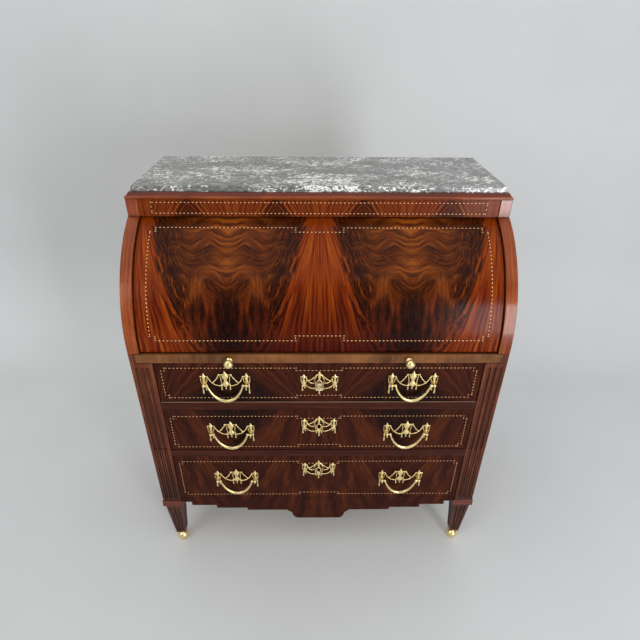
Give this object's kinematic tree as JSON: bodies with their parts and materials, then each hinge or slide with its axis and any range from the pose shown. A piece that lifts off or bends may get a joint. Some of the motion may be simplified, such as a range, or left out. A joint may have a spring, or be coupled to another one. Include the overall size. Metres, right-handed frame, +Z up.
{
  "type": "cylinder bureau",
  "caption": "Writing desk with a quarter-round fall that rolls up as a leather-topped slide is pulled, over a chest of drawers with bail handles on tapered legs, under a marble slab.",
  "frame": {"origin": "middle of the footprint, on the floor", "axes": "+Z up, the front with its handles faces -Y, +X to the viewer's right"},
  "size_m": [0.995, 0.5565, 1.1751],
  "materials": {
    "flame_mahogany_veneer": "book-matched flame veneer under a high-gloss hand polish",
    "solid_mahogany": "straight-grained red-brown mahogany under a high-gloss hand polish",
    "writing_slide_wood": "golden-brown cross-banded mahogany, polished",
    "nest_mahogany": "plain mahogany, satin polish",
    "oak_inside": "unpolished oak",
    "gilt_brass": "cast and chased gilt brass with darkened recesses",
    "forged_iron": "dark forged iron",
    "grey_marble": "polished grey marble with pale flecks and veins",
    "tooled_leather": "dark green writing leather with a gilt tooled border"
  },
  "bodies": {
    "carcass": {"apron": "solid_mahogany", "bottom_board": "oak_inside", "brass_feet": "gilt_brass", "cheeks": "solid_mahogany", "cornice_front": "solid_mahogany", "cornice_sides": "solid_mahogany", "drawer_partitions": "oak_inside", "drawer_rails": "solid_mahogany", "drawer_runners": "oak_inside", "dust_boards": "oak_inside", "fall_pivots": "forged_iron", "frieze_blocks": "solid_mahogany", "frieze_panel": "flame_mahogany_veneer", "front_posts": "solid_mahogany", "leg_collars": "solid_mahogany", "legs": "solid_mahogany", "lower_back_panel": "oak_inside", "marble_top": "grey_marble", "nest_back": "nest_mahogany", "nest_boards": "nest_mahogany", "nest_dividers": "nest_mahogany", "nest_sides": "nest_mahogany", "rear_posts": "solid_mahogany", "side_panels": "solid_mahogany", "slide_guides": "oak_inside", "top_board": "oak_inside", "upper_back_panel": "oak_inside"},
    "fall": {"fall_shell": "flame_mahogany_veneer", "fall_levers": "forged_iron"},
    "writing_slide": {"slide_front": "writing_slide_wood", "slide_board": "writing_slide_wood", "slide_leather": "tooled_leather", "slide_knobs": "gilt_brass", "slide_brackets": "forged_iron"},
    "key": {"drawer_key": "gilt_brass"},
    "nest_drawer_left_body": {"nest_drawer_left": "nest_mahogany", "nest_knob_left": "gilt_brass"},
    "nest_drawer_middle_body": {"nest_drawer_middle": "nest_mahogany", "nest_knob_middle": "gilt_brass"},
    "nest_drawer_right_body": {"nest_drawer_right": "nest_mahogany", "nest_knob_right": "gilt_brass"},
    "lower_drawer": {"lower_drawer_front": "flame_mahogany_veneer", "lower_drawer_box": "oak_inside", "lower_drawer_lock": "forged_iron", "lower_drawer_brass_plates": "gilt_brass"},
    "lower_drawer_left_bail_body": {"lower_drawer_left_bail": "gilt_brass"},
    "lower_drawer_right_bail_body": {"lower_drawer_right_bail": "gilt_brass"},
    "middle_drawer": {"middle_drawer_front": "flame_mahogany_veneer", "middle_drawer_box": "oak_inside", "middle_drawer_lock": "forged_iron", "middle_drawer_brass_plates": "gilt_brass"},
    "middle_drawer_left_bail_body": {"middle_drawer_left_bail": "gilt_brass"},
    "middle_drawer_right_bail_body": {"middle_drawer_right_bail": "gilt_brass"},
    "upper_drawer": {"upper_drawer_front": "flame_mahogany_veneer", "upper_drawer_box": "oak_inside", "upper_drawer_lock": "forged_iron", "upper_drawer_brass_plates": "gilt_brass"},
    "upper_drawer_left_bail_body": {"upper_drawer_left_bail": "gilt_brass"},
    "upper_drawer_right_bail_body": {"upper_drawer_right_bail": "gilt_brass"}
  },
  "joints": [
    {"name": "writing_slide_pull", "type": "slide", "parent": "carcass", "child": "writing_slide", "axis": [0, -1, 0], "range_m": [0, 0.2349]},
    {"name": "fall_roll", "type": "hinge", "parent": "carcass", "child": "fall", "pos_m": [0, 0.07975, 0.805], "axis": [-1, 0, 0], "range_deg": [0, 53.72]},
    {"name": "key_turn", "type": "hinge", "parent": "upper_drawer", "child": "key", "pos_m": [0, -0.24625, 0.703], "axis": [0, 1, 0], "range_deg": [-90, 90]},
    {"name": "lower_drawer_pull", "type": "slide", "parent": "carcass", "child": "lower_drawer", "axis": [0, -1, 0], "range_m": [0, 0.36]},
    {"name": "lower_drawer_left_bail_swing", "type": "hinge", "parent": "lower_drawer", "child": "lower_drawer_left_bail_body", "pos_m": [-0.252, -0.25825, 0.329], "axis": [-1, 0, 0], "range_deg": [-5, 85]},
    {"name": "lower_drawer_right_bail_swing", "type": "hinge", "parent": "lower_drawer", "child": "lower_drawer_right_bail_body", "pos_m": [0.252, -0.25825, 0.329], "axis": [-1, 0, 0], "range_deg": [-5, 85]},
    {"name": "middle_drawer_pull", "type": "slide", "parent": "carcass", "child": "middle_drawer", "axis": [0, -1, 0], "range_m": [0, 0.36]},
    {"name": "middle_drawer_left_bail_swing", "type": "hinge", "parent": "middle_drawer", "child": "middle_drawer_left_bail_body", "pos_m": [-0.252, -0.25825, 0.525], "axis": [-1, 0, 0], "range_deg": [-5, 85]},
    {"name": "middle_drawer_right_bail_swing", "type": "hinge", "parent": "middle_drawer", "child": "middle_drawer_right_bail_body", "pos_m": [0.252, -0.25825, 0.525], "axis": [-1, 0, 0], "range_deg": [-5, 85]},
    {"name": "upper_drawer_pull", "type": "slide", "parent": "carcass", "child": "upper_drawer", "axis": [0, -1, 0], "range_m": [0, 0.36]},
    {"name": "upper_drawer_left_bail_swing", "type": "hinge", "parent": "upper_drawer", "child": "upper_drawer_left_bail_body", "pos_m": [-0.252, -0.25625, 0.702], "axis": [-1, 0, 0], "range_deg": [-5, 85]},
    {"name": "upper_drawer_right_bail_swing", "type": "hinge", "parent": "upper_drawer", "child": "upper_drawer_right_bail_body", "pos_m": [0.252, -0.25625, 0.702], "axis": [-1, 0, 0], "range_deg": [-5, 85]},
    {"name": "nest_drawer_left_pull", "type": "slide", "parent": "carcass", "child": "nest_drawer_left_body", "axis": [0, -1, 0], "range_m": [0, 0.13]},
    {"name": "nest_drawer_middle_pull", "type": "slide", "parent": "carcass", "child": "nest_drawer_middle_body", "axis": [0, -1, 0], "range_m": [0, 0.13]},
    {"name": "nest_drawer_right_pull", "type": "slide", "parent": "carcass", "child": "nest_drawer_right_body", "axis": [0, -1, 0], "range_m": [0, 0.13]}
  ],
  "couplings": [
    {"joint": "fall_roll", "follows": "writing_slide_pull", "rad_per_m": 3.9901}
  ]
}
